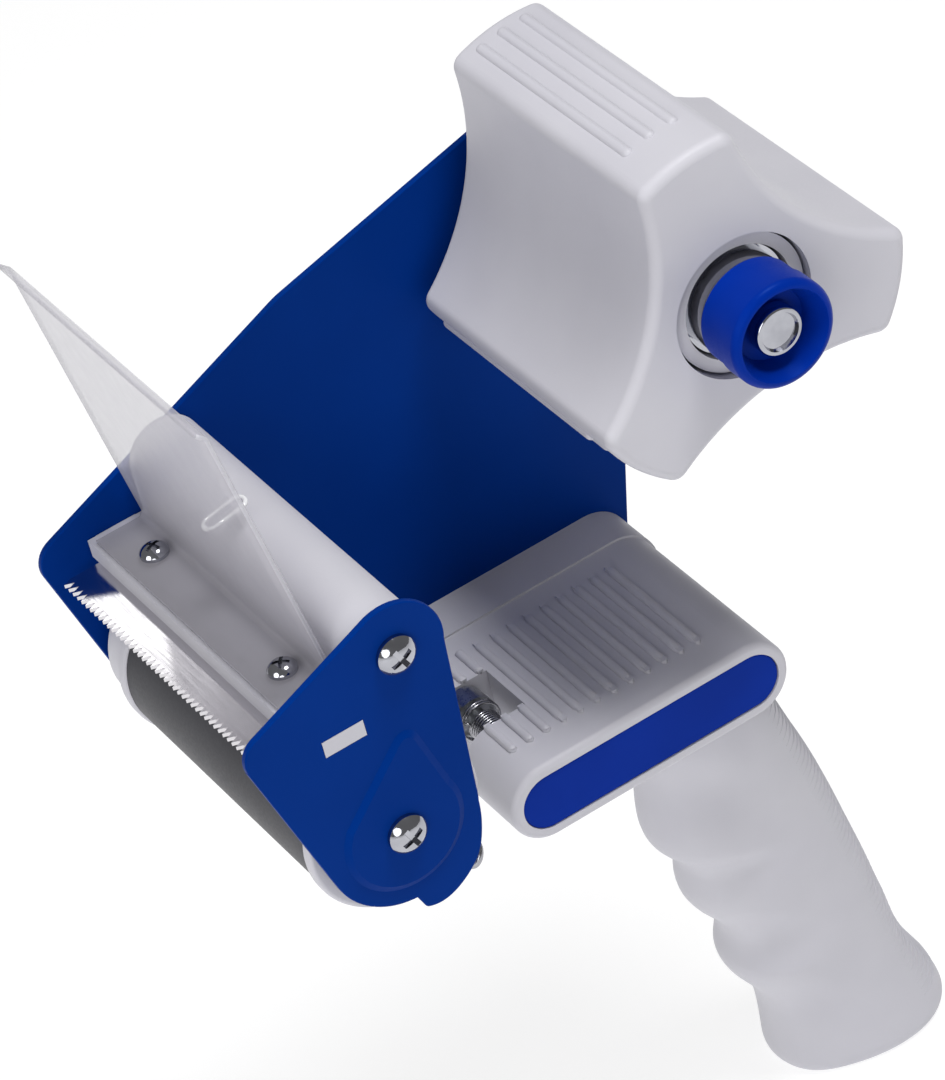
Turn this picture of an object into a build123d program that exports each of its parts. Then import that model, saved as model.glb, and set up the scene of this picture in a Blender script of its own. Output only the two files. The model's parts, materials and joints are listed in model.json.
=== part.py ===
from build123d import *
from math import asin, cos, degrees, radians, sin
import os

# A hand-held tape gun for 76 mm wide packing tape. One frame serves every sub-part: X points to the
# rear of the tool, Z points up from the grip to the tape hub, and the open side faces -Y. The origin
# is on the tape axle, at the inner face of the main side plate. Distances "out" run from that face
# towards the open side. All lengths are in millimetres.

os.makedirs("parts", exist_ok=True)

# --- driving dimensions -----------------------------------------------------------------------------
PLATE_THICKNESS = 1.5
PLATE_GAP = 86.5

CORE_SEAT_RADIUS = 38.0
HUB_RADIUS = 37.3
HUB_NECK_RADIUS = 21.0
HUB_NEAR = 72.0
HUB_FAR = 3.5
HUB_TILT = 98.0
LOBE_HALF_WIDTH = 11.0
LOBE_COUNT = 3
HUB_WALL = 2.6
HUB_FACE_THICKNESS = 4.0
HUB_CORNER = 3.0
HUB_POCKET_CORNER = 1.5
HUB_NEAR_EDGE = 2.2
HUB_FAR_EDGE = 1.6
COUNTERBORE_RADIUS = 15.2
COUNTERBORE_FLOOR = 59.5

AXLE_RADIUS = 6.0
AXLE_THREAD_RADIUS = 4.0
STUD_RADIUS = 4.0
RUNNING_CLEARANCE = 0.05
FIXED_CLEARANCE = 0.05
BORE_CLEARANCE = 0.1
HOLE_CLEARANCE = 0.2
PRESS_CLEARANCE = 0.02

KNOB_RADIUS = 11.4
KNOB_FAR = 74.0
KNOB_NEAR = 86.0
KNOB_FLOOR = 80.4

UPPER_SHAFT = (-93.6, -18.0)
ROLLER = (-101.8, -56.5)
SHAFT_RADIUS = 4.0
SHAFT_SCREW_RADIUS = 2.0
SHAFT_SCREW_LENGTH = 14.0

ROLLER_RADIUS = 18.0
ROLLER_CAP_RADIUS = 18.6
ROLLER_BORE_RADIUS = 15.0
ROLLER_END_GAP = 2.0
ROLLER_CAP_THICKNESS = 3.0
ROLLER_PLUG_LENGTH = 8.0

LEDGE_TOP = -27.8
LEDGE_THICKNESS = 4.0
LEDGE_FRONT = -114.5
GUIDE_TUBE_RADIUS = 8.0
GUIDE_END_GAP = 0.3
TAB_FRONT = -112.4
TAB_LENGTH = 9.0
TAB_THICKNESS = 3.6

BLADE_TIP = -123.0
BLADE_REAR = -103.0
BLADE_THICKNESS = 0.8
BLADE_FAR = 3.0
TOOTH_PITCH = 1.75
TOOTH_DEPTH = 1.9
TOOTH_COUNT = 46

FLAP_THICKNESS = 1.0
FLAP_FAR = 2.5
FLAP_NEAR = 79.0
FLAP_TOP = (-112.6, 39.2)
FLAP_LIP = (-114.6, 41.2)
FLAP_BEND_X = -101.8
FLAP_SCREW_X = -107.3
FLAP_SCREW_OUT = (15.5, 65.5)
FLAP_SCREW_RADIUS = 1.5
TONGUE_ROOT = (-105.6, -7.7)
TONGUE_TIP = (-95.7, -6.0)
TONGUE_OUT = 41.0
TONGUE_WIDTH = 4.4
TONGUE_THICKNESS = 1.0

BLOCK_CENTRE = (-35.8, -94.0)
BLOCK_HALF_SPAN = 24.3
BLOCK_RADIUS = 8.7
BLOCK_WIDTH = 60.0
BLOCK_POCKET_RADIUS = 6.3
BLOCK_POCKET_DEPTH = 16.0
BLOCK_FLANGE_WIDTH = 11.3
BLOCK_FLANGE_STEP = 0.5
BLOCK_RIB_COUNT = 12
BLOCK_RIB_PITCH = 4.04
BLOCK_RIB_FIRST = -16.8
BLOCK_RIB_LENGTH = 34.6
BLOCK_RIB_WIDTH = 1.3
BLOCK_RIB_HEIGHT = 0.7
BLOCK_RIB_ROOT = 0.5
BLOCK_RIB_MIDDLE = 34.3
BLOCK_NEAR_EDGE = 1.3
NOTCH_LENGTH = 24.0
NOTCH_HEIGHT = 26.0
NOTCH_REAR = -52.0
NOTCH_FAR = 26.0
NOTCH_NEAR = 41.0
PIN_FAR = NOTCH_FAR - 8.0
PIN_NEAR = NOTCH_NEAR + 2.0
END_CAP_THICKNESS = 2.2
END_CAP_SINK = 0.2
END_CAP_EDGE = 0.5
GRIP_BASE = -219.0
GRIP_MIDDLE = 30.0

PIVOT_RADIUS = 2.0
WIRE_RADIUS = 0.8
WIRE_LOWER = (-89.4, -76.4)
WIRE_UPPER = (-86.8, -72.7)
WIRE_FAR = 8.0
WIRE_NEAR = 83.0


def side_plane(out):
    """A plane parallel to the side plates, out from the main plate's inner face, facing the open side."""
    return Plane(origin=(0, -out, 0), x_dir=(1, 0, 0), z_dir=(0, -1, 0))


def far_plane(out):
    """The same plane facing away from the open side, with its local x reversed."""
    return Plane(origin=(0, -out, 0), x_dir=(-1, 0, 0), z_dir=(0, 1, 0))


def polar(radius, angle):
    return (radius * cos(radians(angle)), radius * sin(radians(angle)))


def pan_screw(head_radius, head_height, recess_depth, shank_radius, shank_length):
    """A pan-head screw with a cross recess: its head stands on XY and its shank runs down."""
    with BuildPart() as screw:
        with BuildSketch(Plane.XZ):
            with BuildLine():
                side = Line((head_radius, 0), (head_radius, 0.35 * head_height))
                dome = ThreePointArc(side @ 1, (0.62 * head_radius, 0.86 * head_height), (0, head_height))
                Polyline(
                    dome @ 1, (0, -shank_length), (shank_radius, -shank_length), (shank_radius, 0), side @ 0
                )
            make_face()
        revolve(axis=Axis.Z)
        with BuildSketch(Plane.XY.offset(head_height - recess_depth)):
            Rectangle(0.26 * head_radius, 1.15 * head_radius)
            Rectangle(1.15 * head_radius, 0.26 * head_radius)
        extrude(amount=2 * recess_depth, mode=Mode.SUBTRACT)
    return screw.part


# --- side plates ------------------------------------------------------------------------------------
PLATE_CORNERS = (
    (-126.3, -26.4, 5.6),
    (-62.3, 1.0, 20.0),
    (21.9, 23.1, 16.8),
    (-4.0, -102.0, 6.0),
    (-72.0, -102.0, 5.0),
    (-115.1, -66.2, 15.5),
)
PLATE_EDGE_RADIUS = 0.3
HANDLE_SCREW_X = (-56.0, -36.0, -14.0)

with BuildPart() as side_plate:
    with BuildSketch(side_plane(-PLATE_THICKNESS)) as main_outline:
        Polygon(*[(x, z) for x, z, radius in PLATE_CORNERS], align=None)
        for x, z, radius in PLATE_CORNERS:
            fillet(main_outline.vertices().sort_by_distance((x, z))[0], radius=radius)
        with Locations((0, 0)):
            Circle(STUD_RADIUS + BORE_CLEARANCE, mode=Mode.SUBTRACT)
        with Locations(UPPER_SHAFT, ROLLER):
            Circle(SHAFT_SCREW_RADIUS + HOLE_CLEARANCE, mode=Mode.SUBTRACT)
        with Locations(*[(x, BLOCK_CENTRE[1]) for x in HANDLE_SCREW_X]):
            Circle(SHAFT_SCREW_RADIUS + HOLE_CLEARANCE, mode=Mode.SUBTRACT)
        with Locations((TAB_FRONT + TAB_LENGTH / 2, LEDGE_TOP - LEDGE_THICKNESS / 2)):
            Rectangle(TAB_LENGTH + HOLE_CLEARANCE, TAB_THICKNESS + HOLE_CLEARANCE, mode=Mode.SUBTRACT)
    extrude(amount=PLATE_THICKNESS)
    for face in (side_plate.faces().sort_by(Axis.Y)[0], side_plate.faces().sort_by(Axis.Y)[-1]):
        fillet(face.outer_wire().edges(), radius=PLATE_EDGE_RADIUS)

# The near plate carries a pressed teardrop under the roller screw: it stands out by EMBOSS and is
# hollow behind by the same depth, so the roller's shaft is longer by that much.
NEAR_NOSE = (-122.6, -24.6)
NEAR_NOSE_RADIUS = 5.3
NEAR_APEX_RADIUS = 10.6
NEAR_LOBE_RADIUS = 16.4
NEAR_TAB = ((19.6, -90), (20.7, -80), (20.4, -62), (19.4, -46), (18.0, -33), (16.8, -18), (16.2, -6))
EMBOSS = 0.7
EMBOSS_DRAFT = 62
TEARDROP_APEX = (-95.2, -32.5)
TEARDROP_RADIUS = 13.0
TEARDROP_APEX_RADIUS = 3.0
TEARDROP_WALL = 1.6

with BuildPart() as front_side_plate:
    with BuildSketch(side_plane(PLATE_GAP)) as plate_outline:
        with Locations(NEAR_NOSE):
            Circle(NEAR_NOSE_RADIUS)
        with Locations(UPPER_SHAFT):
            Circle(NEAR_APEX_RADIUS)
        with Locations(ROLLER):
            Circle(NEAR_LOBE_RADIUS)
        with BuildLine():
            Polyline(
                (-125.0, -19.9),
                (-97.8, -8.3),
                (-83.1, -16.6),
                (-85.5, -58.0),
                (-88.2, -66.0),
                ROLLER,
                (-117.7, -60.6),
                (-127.8, -26.0),
                close=True,
            )
        make_face()
        with BuildLine():
            rim = [Vector(*ROLLER) + Vector(*polar(radius, angle)) for radius, angle in NEAR_TAB]
            Spline(*rim)
            foot = Vector(*ROLLER) + Vector(*polar(NEAR_LOBE_RADIUS - 0.3, -95))
            Polyline(rim[-1], ROLLER, foot, rim[0])
        make_face()
        fillet(plate_outline.vertices().sort_by_distance(rim[0])[0], radius=1.2)
        with Locations(UPPER_SHAFT, ROLLER):
            Circle(SHAFT_SCREW_RADIUS + HOLE_CLEARANCE, mode=Mode.SUBTRACT)
        with Locations((TAB_FRONT + TAB_LENGTH / 2, LEDGE_TOP - LEDGE_THICKNESS / 2)):
            Rectangle(TAB_LENGTH + HOLE_CLEARANCE, TAB_THICKNESS + HOLE_CLEARANCE, mode=Mode.SUBTRACT)
    extrude(amount=PLATE_THICKNESS)
    for face in (front_side_plate.faces().sort_by(Axis.Y)[0], front_side_plate.faces().sort_by(Axis.Y)[-1]):
        fillet(face.outer_wire().edges(), radius=PLATE_EDGE_RADIUS)
    for inset, level, way in (
        (0.0, PLATE_GAP + PLATE_THICKNESS, Mode.ADD),
        (TEARDROP_WALL, PLATE_GAP, Mode.SUBTRACT),
    ):
        with BuildSketch(side_plane(level)) as teardrop:
            with BuildLine():
                apex = (TEARDROP_APEX[0], TEARDROP_APEX[1] - 2 * inset)
                bowl = CenterArc(ROLLER, TEARDROP_RADIUS - inset, 25, -236)
                Line(bowl @ 1, apex)
                Line(apex, bowl @ 0)
            make_face()
            fillet(teardrop.vertices().sort_by_distance(apex)[0], radius=TEARDROP_APEX_RADIUS)
        extrude(amount=EMBOSS, taper=EMBOSS_DRAFT, mode=way)
    with BuildSketch(side_plane(PLATE_GAP)):
        with Locations(ROLLER):
            Circle(SHAFT_SCREW_RADIUS + HOLE_CLEARANCE)
    extrude(amount=PLATE_THICKNESS + EMBOSS, mode=Mode.SUBTRACT)

# --- tape hub ---------------------------------------------------------------------------------------
LOBE_ANGLES = [HUB_TILT + 360 / LOBE_COUNT * number for number in range(LOBE_COUNT)]
HUB_RIB_SPACING = 8.2
HUB_RIB_LENGTH = 52.0
HUB_RIB_START = HUB_FAR + 4.5
HUB_RIB_RADIUS = 1.3
COLLAR_OUTER = 14.6
COLLAR_INNER = 12.0
COLLAR_TOP = 70.2
COLLAR_GROOVE_FLOOR = 62.5
BUSH_RADIUS = 8.0
BUSH_LENGTH = 12.0
BOSS_RADIUS = 19.2


def hub_outline(inset, corner):
    """Three rounded lobes joined by hollow arcs, set in from the hub's outer faces."""
    radius = HUB_RADIUS - inset
    half_angle = degrees(asin((LOBE_HALF_WIDTH - inset) / radius))
    with BuildSketch() as outline:
        with BuildLine():
            for angle in LOBE_ANGLES:
                CenterArc((0, 0), radius, angle - half_angle, 2 * half_angle)
                ThreePointArc(
                    polar(radius, angle + half_angle),
                    polar(HUB_NECK_RADIUS - inset, angle + 180 / LOBE_COUNT),
                    polar(radius, angle + 360 / LOBE_COUNT - half_angle),
                )
        make_face()
        fillet(outline.vertices(), radius=corner)
    return outline.sketch


with BuildPart() as tape_hub:
    with BuildSketch(side_plane(HUB_FAR)):
        add(hub_outline(0, HUB_CORNER))
    extrude(amount=HUB_NEAR - HUB_FAR)
    fillet(tape_hub.faces().sort_by(Axis.Y)[0].edges(), radius=HUB_NEAR_EDGE)
    fillet(tape_hub.faces().sort_by(Axis.Y)[-1].edges(), radius=HUB_FAR_EDGE)
    with BuildSketch(side_plane(HUB_FAR)):
        add(hub_outline(HUB_WALL, HUB_POCKET_CORNER))
        Circle(BOSS_RADIUS, mode=Mode.SUBTRACT)
    extrude(amount=HUB_NEAR - HUB_FAR - HUB_FACE_THICKNESS, mode=Mode.SUBTRACT)
    with BuildSketch(side_plane(HUB_NEAR)):
        Circle(COUNTERBORE_RADIUS)
    extrude(amount=COUNTERBORE_FLOOR - HUB_NEAR, mode=Mode.SUBTRACT)
    with BuildSketch(side_plane(COUNTERBORE_FLOOR)):
        Circle(COLLAR_OUTER)
        Circle(COLLAR_INNER, mode=Mode.SUBTRACT)
    extrude(amount=COLLAR_TOP - COUNTERBORE_FLOOR)
    with BuildSketch(side_plane(COUNTERBORE_FLOOR)):
        Circle(COUNTERBORE_RADIUS)
        Circle(COLLAR_OUTER, mode=Mode.SUBTRACT)
    extrude(amount=COLLAR_GROOVE_FLOOR - COUNTERBORE_FLOOR)
    with BuildSketch(side_plane(HUB_FAR)):
        Circle(BUSH_RADIUS)
    extrude(amount=HUB_NEAR, mode=Mode.SUBTRACT)
    # Rounded ribs on each lobe hold the tape core.
    for angle in LOBE_ANGLES:
        for step in (-HUB_RIB_SPACING, 0, HUB_RIB_SPACING):
            x, z = polar(CORE_SEAT_RADIUS - HUB_RIB_RADIUS, angle + step)
            for out in (HUB_RIB_START, HUB_RIB_START + HUB_RIB_LENGTH):
                with Locations((x, -out, z)):
                    Sphere(HUB_RIB_RADIUS)
            with BuildSketch(side_plane(HUB_RIB_START)):
                with Locations((x, z)):
                    Circle(HUB_RIB_RADIUS)
            extrude(amount=HUB_RIB_LENGTH)

with BuildPart() as hub_bushes:
    for out in (HUB_FAR, COUNTERBORE_FLOOR - BUSH_LENGTH):
        with BuildSketch(side_plane(out)):
            Circle(BUSH_RADIUS - PRESS_CLEARANCE)
            Circle(AXLE_RADIUS + RUNNING_CLEARANCE, mode=Mode.SUBTRACT)
        extrude(amount=BUSH_LENGTH)

# --- axle, brake and knob ---------------------------------------------------------------------------
AXLE_FLANGE_RADIUS = 11.0
AXLE_FLANGE = 3.3
AXLE_SHOULDER = 64.0
AXLE_END = 81.3
STUD_LENGTH = 11.0
AXLE_END_CHAMFER = 0.6
LOCK_WASHER_RADIUS = 7.5
LOCK_WASHER_THICKNESS = 1.5
NUT_HALF_WIDTH = 6.5
NUT_HEIGHT = 6.5
NUT_CHAMFER = 0.5
WASHER_THICKNESS = 1.6
WASHER_RADIUS = COLLAR_INNER - 0.6
CUP_FAR = 67.5
CUP_RADIUS = 10.6
CUP_RIM_RADIUS = 11.5
CUP_WALL = 0.8
CUP_FLOOR = 1.2
CUP_RIM = 1.0
CUP_EDGE = 0.7
SPRING_WIRE = 1.7
SPRING_RADIUS = 8.1
BOLT_RADIUS = 2.5
BOLT_LENGTH = 14.0

with BuildPart() as hub_axle:
    for start, end, radius in (
        (-PLATE_THICKNESS - STUD_LENGTH, 0, STUD_RADIUS),
        (0, AXLE_FLANGE, AXLE_FLANGE_RADIUS),
        (0, AXLE_SHOULDER, AXLE_RADIUS),
        (AXLE_SHOULDER, AXLE_END, AXLE_THREAD_RADIUS),
    ):
        with BuildSketch(side_plane(start)):
            Circle(radius)
        extrude(amount=end - start)
    with BuildSketch(side_plane(AXLE_END)):
        Circle(BOLT_RADIUS + PRESS_CLEARANCE)
    extrude(amount=-BOLT_LENGTH - 1.0, mode=Mode.SUBTRACT)
    chamfer(hub_axle.edges().sort_by(Axis.Y)[-1], length=AXLE_END_CHAMFER)

with BuildPart() as axle_lock_washer:
    with BuildSketch(side_plane(-PLATE_THICKNESS - LOCK_WASHER_THICKNESS)):
        Circle(LOCK_WASHER_RADIUS)
        Circle(STUD_RADIUS + FIXED_CLEARANCE, mode=Mode.SUBTRACT)
    extrude(amount=LOCK_WASHER_THICKNESS)

with BuildPart() as axle_nut:
    with BuildSketch(side_plane(-PLATE_THICKNESS - LOCK_WASHER_THICKNESS - NUT_HEIGHT)):
        RegularPolygon(radius=NUT_HALF_WIDTH, side_count=6, major_radius=False)
        Circle(STUD_RADIUS + FIXED_CLEARANCE, mode=Mode.SUBTRACT)
    extrude(amount=NUT_HEIGHT)
    chamfer(axle_nut.edges().group_by(Axis.Y)[-1].sort_by(SortBy.LENGTH)[-6:], length=NUT_CHAMFER)

with BuildPart() as friction_washer:
    with BuildSketch(side_plane(COUNTERBORE_FLOOR)):
        Circle(WASHER_RADIUS)
        Circle(AXLE_RADIUS + BORE_CLEARANCE, mode=Mode.SUBTRACT)
    extrude(amount=WASHER_THICKNESS)

with BuildPart() as spring_cup:
    with BuildSketch(side_plane(CUP_FAR)):
        Circle(CUP_RADIUS)
        Circle(CUP_RADIUS - CUP_WALL, mode=Mode.SUBTRACT)
    extrude(amount=KNOB_FAR - CUP_FAR)
    with BuildSketch(side_plane(KNOB_FAR - CUP_FLOOR)):
        Circle(CUP_RADIUS)
        Circle(AXLE_THREAD_RADIUS + RUNNING_CLEARANCE, mode=Mode.SUBTRACT)
    extrude(amount=CUP_FLOOR)
    fillet(spring_cup.edges().group_by(Axis.Y)[0].sort_by(SortBy.RADIUS)[-1], radius=CUP_EDGE)
    with BuildSketch(side_plane(CUP_FAR)):
        Circle(CUP_RIM_RADIUS)
        Circle(CUP_RADIUS - CUP_WALL, mode=Mode.SUBTRACT)
    extrude(amount=CUP_RIM)

SPRING_START = COUNTERBORE_FLOOR + WASHER_THICKNESS
SPRING_LENGTH = KNOB_FAR - CUP_FLOOR - SPRING_START
SPRING_TURNS = 3.5
with BuildPart() as brake_spring:
    height = SPRING_LENGTH - SPRING_WIRE - 0.1
    coil_centre = (0, -SPRING_START - SPRING_WIRE / 2 - 0.05, 0)
    with BuildLine():
        coil = Helix(height / SPRING_TURNS, height, SPRING_RADIUS, center=coil_centre, direction=(0, -1, 0))
    with BuildSketch(Plane(origin=coil @ 0, z_dir=coil % 0)):
        Circle(SPRING_WIRE / 2)
    sweep(path=coil, is_frenet=True)

KNOB_SKIRT_LENGTH = 6.0
KNOB_SKIRT_STEP = 0.4
KNOB_EDGE = 1.6
KNOB_RECESS_RADIUS = 9.7
KNOB_RECESS_TAPER = 22
with BuildPart() as brake_knob:
    with BuildSketch(side_plane(KNOB_FAR)):
        Circle(KNOB_RADIUS - KNOB_SKIRT_STEP)
    extrude(amount=KNOB_NEAR - KNOB_FAR)
    with BuildSketch(side_plane(KNOB_FAR + KNOB_SKIRT_LENGTH)):
        Circle(KNOB_RADIUS)
    extrude(amount=KNOB_NEAR - KNOB_FAR - KNOB_SKIRT_LENGTH)
    fillet(brake_knob.edges().group_by(Axis.Y)[0], radius=KNOB_EDGE)
    with BuildSketch(side_plane(KNOB_NEAR)):
        Circle(KNOB_RECESS_RADIUS)
    extrude(amount=KNOB_FLOOR - KNOB_NEAR, taper=KNOB_RECESS_TAPER, mode=Mode.SUBTRACT)
    with BuildSketch(side_plane(KNOB_FAR)):
        Circle(AXLE_THREAD_RADIUS + RUNNING_CLEARANCE)
    extrude(amount=KNOB_NEAR - KNOB_FAR, mode=Mode.SUBTRACT)

# The bolt's head is wider than the knob's bore, so it stops the knob from coming off the thread.
BOLT_HEAD_RADIUS = 5.15
BOLT_HEAD_HEIGHT = 3.0
BOLT_HEAD_EDGE = 0.6
BOLT_DISH_RADIUS = 4.1
BOLT_DISH_DEPTH = 0.8
BOLT_DISH_TAPER = 25
with BuildPart() as knob_bolt:
    with BuildSketch(side_plane(AXLE_END)):
        Circle(BOLT_HEAD_RADIUS)
    extrude(amount=BOLT_HEAD_HEIGHT)
    fillet(knob_bolt.edges().sort_by(Axis.Y)[0], radius=BOLT_HEAD_EDGE)
    with BuildSketch(side_plane(AXLE_END + BOLT_HEAD_HEIGHT)):
        Circle(BOLT_DISH_RADIUS)
    extrude(amount=-BOLT_DISH_DEPTH, taper=BOLT_DISH_TAPER, mode=Mode.SUBTRACT)
    with BuildSketch(side_plane(AXLE_END - BOLT_LENGTH)):
        Circle(BOLT_RADIUS)
    extrude(amount=BOLT_LENGTH)

# --- shafts and their screws ------------------------------------------------------------------------
with BuildPart() as upper_shaft:
    with BuildSketch(side_plane(0)):
        with Locations(UPPER_SHAFT):
            Circle(SHAFT_RADIUS)
            Circle(SHAFT_SCREW_RADIUS + PRESS_CLEARANCE, mode=Mode.SUBTRACT)
    extrude(amount=PLATE_GAP)

with BuildPart() as roller_shaft:
    with BuildSketch(side_plane(0)):
        with Locations(ROLLER):
            Circle(SHAFT_RADIUS)
            Circle(SHAFT_SCREW_RADIUS + PRESS_CLEARANCE, mode=Mode.SUBTRACT)
    extrude(amount=PLATE_GAP + EMBOSS)

NEAR_FACE = PLATE_GAP + PLATE_THICKNESS
shaft_screw = pan_screw(4.1, 2.7, 1.5, SHAFT_SCREW_RADIUS, SHAFT_SCREW_LENGTH)

with BuildPart() as shaft_screws:
    for point, seat in ((UPPER_SHAFT, NEAR_FACE), (ROLLER, NEAR_FACE + EMBOSS)):
        near = side_plane(seat) * Pos(point[0], point[1], 0) * Rot(0, 0, 25)
        far = far_plane(-PLATE_THICKNESS) * Pos(-point[0], point[1], 0)
        add(near * shaft_screw)
        add(far * shaft_screw)

# --- roller -----------------------------------------------------------------------------------------
ROLLER_NECK_RADIUS = 16.8
ROLLER_NECK_LENGTH = 7.0
ROLLER_CAP_EDGE = 0.9
ROLLER_WASHER_RADIUS = 7.0
ROLLER_WASHER_THICKNESS = ROLLER_END_GAP - 0.1
SLEEVE_FAR = ROLLER_END_GAP + ROLLER_NECK_LENGTH + ROLLER_CAP_THICKNESS
SLEEVE_NEAR = PLATE_GAP - ROLLER_END_GAP - ROLLER_CAP_THICKNESS
with BuildPart() as roller_sleeve:
    with BuildSketch(side_plane(SLEEVE_FAR)):
        with Locations(ROLLER):
            Circle(ROLLER_RADIUS)
            Circle(ROLLER_BORE_RADIUS, mode=Mode.SUBTRACT)
    extrude(amount=SLEEVE_NEAR - SLEEVE_FAR)

# Each end cap is a rim that covers the sleeve's end, with a plug inside the sleeve. The far cap also has
# a neck that keeps the roller under the tape.
with BuildPart() as roller_end_caps:
    for sleeve_end, way, neck in ((SLEEVE_FAR, -1, ROLLER_NECK_LENGTH), (SLEEVE_NEAR, 1, 0)):
        for length, radius in (
            (way * ROLLER_CAP_THICKNESS, ROLLER_CAP_RADIUS),
            (way * (ROLLER_CAP_THICKNESS + neck), ROLLER_NECK_RADIUS),
            (-way * ROLLER_PLUG_LENGTH, ROLLER_BORE_RADIUS - PRESS_CLEARANCE),
        ):
            with BuildSketch(side_plane(sleeve_end)):
                with Locations(ROLLER):
                    Circle(radius)
            extrude(amount=length)
    rims = roller_end_caps.edges().filter_by(
        lambda edge: edge.geom_type == GeomType.CIRCLE and abs(edge.radius - ROLLER_CAP_RADIUS) < 0.01
    )
    fillet(rims, radius=ROLLER_CAP_EDGE)
    with BuildSketch(side_plane(0)):
        with Locations(ROLLER):
            Circle(SHAFT_RADIUS + RUNNING_CLEARANCE)
    extrude(amount=PLATE_GAP, mode=Mode.SUBTRACT)

with BuildPart() as roller_washers:
    for out in (0, PLATE_GAP - ROLLER_WASHER_THICKNESS):
        with BuildSketch(side_plane(out)):
            with Locations(ROLLER):
                Circle(ROLLER_WASHER_RADIUS)
                Circle(SHAFT_RADIUS + BORE_CLEARANCE, mode=Mode.SUBTRACT)
        extrude(amount=ROLLER_WASHER_THICKNESS)

# --- tape guide, blade and wiper flap ---------------------------------------------------------------
LEDGE_BOTTOM = LEDGE_TOP - LEDGE_THICKNESS
GUIDE_FRONT_WALL = UPPER_SHAFT[0] - GUIDE_TUBE_RADIUS
with BuildPart() as tape_guide:
    with BuildSketch(side_plane(GUIDE_END_GAP)) as guide_profile:
        with BuildLine():
            Polyline(
                (LEDGE_FRONT, LEDGE_TOP),
                (GUIDE_FRONT_WALL, LEDGE_TOP),
                (GUIDE_FRONT_WALL, UPPER_SHAFT[1]),
                (UPPER_SHAFT[0] + GUIDE_TUBE_RADIUS, UPPER_SHAFT[1]),
                (UPPER_SHAFT[0] + GUIDE_TUBE_RADIUS - 0.6, LEDGE_BOTTOM + 4.0),
                (UPPER_SHAFT[0] + GUIDE_TUBE_RADIUS - 5.0, LEDGE_BOTTOM),
                (LEDGE_FRONT, LEDGE_BOTTOM),
                close=True,
            )
        make_face()
        with Locations(UPPER_SHAFT):
            Circle(GUIDE_TUBE_RADIUS)
            Circle(SHAFT_RADIUS + BORE_CLEARANCE, mode=Mode.SUBTRACT)
    extrude(amount=PLATE_GAP - 2 * GUIDE_END_GAP)
    with BuildSketch(side_plane(-PLATE_THICKNESS)):
        with Locations((TAB_FRONT + TAB_LENGTH / 2, LEDGE_TOP - LEDGE_THICKNESS / 2)):
            Rectangle(TAB_LENGTH, TAB_THICKNESS)
    extrude(amount=PLATE_GAP + 2 * PLATE_THICKNESS)
    with Locations(*[(FLAP_SCREW_X, -out, LEDGE_TOP) for out in FLAP_SCREW_OUT]):
        Hole(FLAP_SCREW_RADIUS + BORE_CLEARANCE, depth=LEDGE_THICKNESS + 1)

with BuildPart() as cutter_blade:
    with BuildSketch(Plane.XY.offset(LEDGE_BOTTOM - BLADE_THICKNESS)):
        with BuildLine():
            root = BLADE_TIP + TOOTH_DEPTH
            edge = [(root, -BLADE_FAR)]
            for number in range(TOOTH_COUNT):
                start = -BLADE_FAR - TOOTH_PITCH * number
                edge.append((BLADE_TIP, start - TOOTH_PITCH / 2))
                edge.append((root, start - TOOTH_PITCH))
            Polyline(*edge, (BLADE_REAR, edge[-1][1]), (BLADE_REAR, -BLADE_FAR), close=True)
        make_face()
    extrude(amount=BLADE_THICKNESS)
    with Locations(*[(FLAP_SCREW_X, -out, LEDGE_BOTTOM) for out in FLAP_SCREW_OUT]):
        Hole(FLAP_SCREW_RADIUS + PRESS_CLEARANCE, depth=BLADE_THICKNESS + 1)

# A rounded tongue stands on the flap's back and reaches over the guide tube.
tongue_root = Vector(TONGUE_ROOT[0], -TONGUE_OUT, TONGUE_ROOT[1])
tongue = Vector(TONGUE_TIP[0], -TONGUE_OUT, TONGUE_TIP[1]) - tongue_root
tongue_straight = tongue.length - TONGUE_WIDTH / 2

with BuildPart() as wiper_flap:
    with BuildSketch(side_plane(FLAP_FAR)):
        with BuildLine():
            FilletPolyline(
                (LEDGE_FRONT + 0.8, LEDGE_TOP),
                (FLAP_BEND_X, LEDGE_TOP),
                FLAP_TOP,
                FLAP_LIP,
                radius=1.6,
            )
            offset(amount=FLAP_THICKNESS, side=Side.LEFT)
        make_face()
    extrude(amount=FLAP_NEAR - FLAP_FAR)
    with Locations(*[(FLAP_SCREW_X, -out, LEDGE_TOP + FLAP_THICKNESS) for out in FLAP_SCREW_OUT]):
        Hole(FLAP_SCREW_RADIUS + BORE_CLEARANCE, depth=FLAP_THICKNESS + 1)
    with BuildSketch(Plane(origin=tongue_root, x_dir=tongue, z_dir=tongue.cross(Vector(0, 1, 0)))):
        Rectangle(tongue_straight, TONGUE_WIDTH, align=(Align.MIN, Align.CENTER))
        with Locations((tongue_straight, 0)):
            Circle(TONGUE_WIDTH / 2)
    extrude(amount=TONGUE_THICKNESS / 2, both=True)

FLAP_SCREW_LENGTH = FLAP_THICKNESS + LEDGE_THICKNESS + BLADE_THICKNESS
flap_screw = pan_screw(3.0, 2.1, 1.1, FLAP_SCREW_RADIUS, FLAP_SCREW_LENGTH)

with BuildPart() as flap_screws:
    for number, out in enumerate(FLAP_SCREW_OUT):
        seat = Pos(FLAP_SCREW_X, -out, LEDGE_TOP + FLAP_THICKNESS) * Rot(0, 0, 20 + 35 * number)
        add(seat * flap_screw)

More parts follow.
